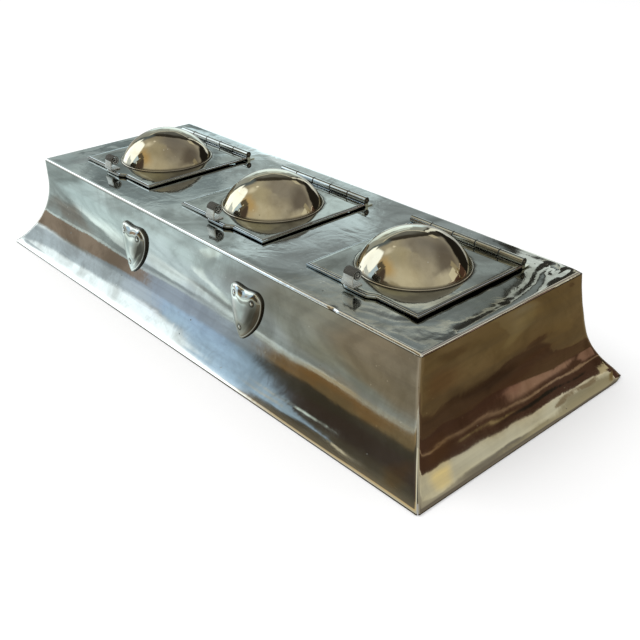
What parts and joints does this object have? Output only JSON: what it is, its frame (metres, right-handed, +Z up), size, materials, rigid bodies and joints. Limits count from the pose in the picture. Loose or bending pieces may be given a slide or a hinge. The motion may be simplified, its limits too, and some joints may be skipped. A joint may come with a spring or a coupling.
{
  "type": "desk inkstand",
  "caption": "Long sheet-metal inkstand with flared cove sides, wells in its top and square hinged lids with domed caps.",
  "frame": {"origin": "on the desk, under the middle of the case", "axes": "+X to the right along the length, +Y to the back, where the hinges are, +Z up"},
  "size_m": [0.338, 0.141, 0.0729],
  "materials": {
    "case_plate": "polished silver plate, hand-beaten and lightly tarnished",
    "heart_plate": "polished silver plate",
    "lid_plate": "polished silver plate, lightly tarnished",
    "dome_plate": "polished silver plate, warm with tarnish",
    "hinge_metal": "polished silver plate, worn warm",
    "pin_steel": "drawn wire",
    "socket_metal": "dull plate",
    "base_metal": "dull plate",
    "pot_glass": "clear pressed glass",
    "baize": "felted wool baize"
  },
  "bodies": {
    "case": {"front_panel": "case_plate", "rear_panel": "case_plate", "left_panel": "case_plate", "right_panel": "case_plate", "top_plate": "case_plate", "base_plate": "base_metal", "baize_pad": "baize", "heart_left": "heart_plate", "heart_right": "heart_plate", "well_socket_1": "socket_metal", "well_socket_2": "socket_metal", "well_socket_3": "socket_metal", "ink_pot_1": "pot_glass", "ink_pot_2": "pot_glass", "ink_pot_3": "pot_glass", "hinge_bearer_1": "case_plate", "hinge_bearer_2": "case_plate", "hinge_bearer_3": "case_plate", "hinge_knuckles_1": "hinge_metal", "hinge_knuckles_2": "hinge_metal", "hinge_knuckles_3": "hinge_metal", "hinge_pin_1": "pin_steel", "hinge_pin_2": "pin_steel", "hinge_pin_3": "pin_steel"},
    "lid_1": {"lid_plate_1": "lid_plate", "lid_dome_1": "dome_plate", "lid_knuckles_1": "hinge_metal", "thumb_scroll_1": "hinge_metal"},
    "lid_2": {"lid_plate_2": "lid_plate", "lid_dome_2": "dome_plate", "lid_knuckles_2": "hinge_metal", "thumb_scroll_2": "hinge_metal"},
    "lid_3": {"lid_plate_3": "lid_plate", "lid_dome_3": "dome_plate", "lid_knuckles_3": "hinge_metal", "thumb_scroll_3": "hinge_metal"}
  },
  "joints": [
    {"name": "lid_1_hinge", "type": "hinge", "parent": "case", "child": "lid_1", "pos_m": [-0.098, 0.0346, 0.05765], "axis": [-1, 0, 0], "range_deg": [0, 155]},
    {"name": "lid_2_hinge", "type": "hinge", "parent": "case", "child": "lid_2", "pos_m": [0, 0.0346, 0.05765], "axis": [-1, 0, 0], "range_deg": [0, 155]},
    {"name": "lid_3_hinge", "type": "hinge", "parent": "case", "child": "lid_3", "pos_m": [0.098, 0.0346, 0.05765], "axis": [-1, 0, 0], "range_deg": [0, 155]}
  ]
}
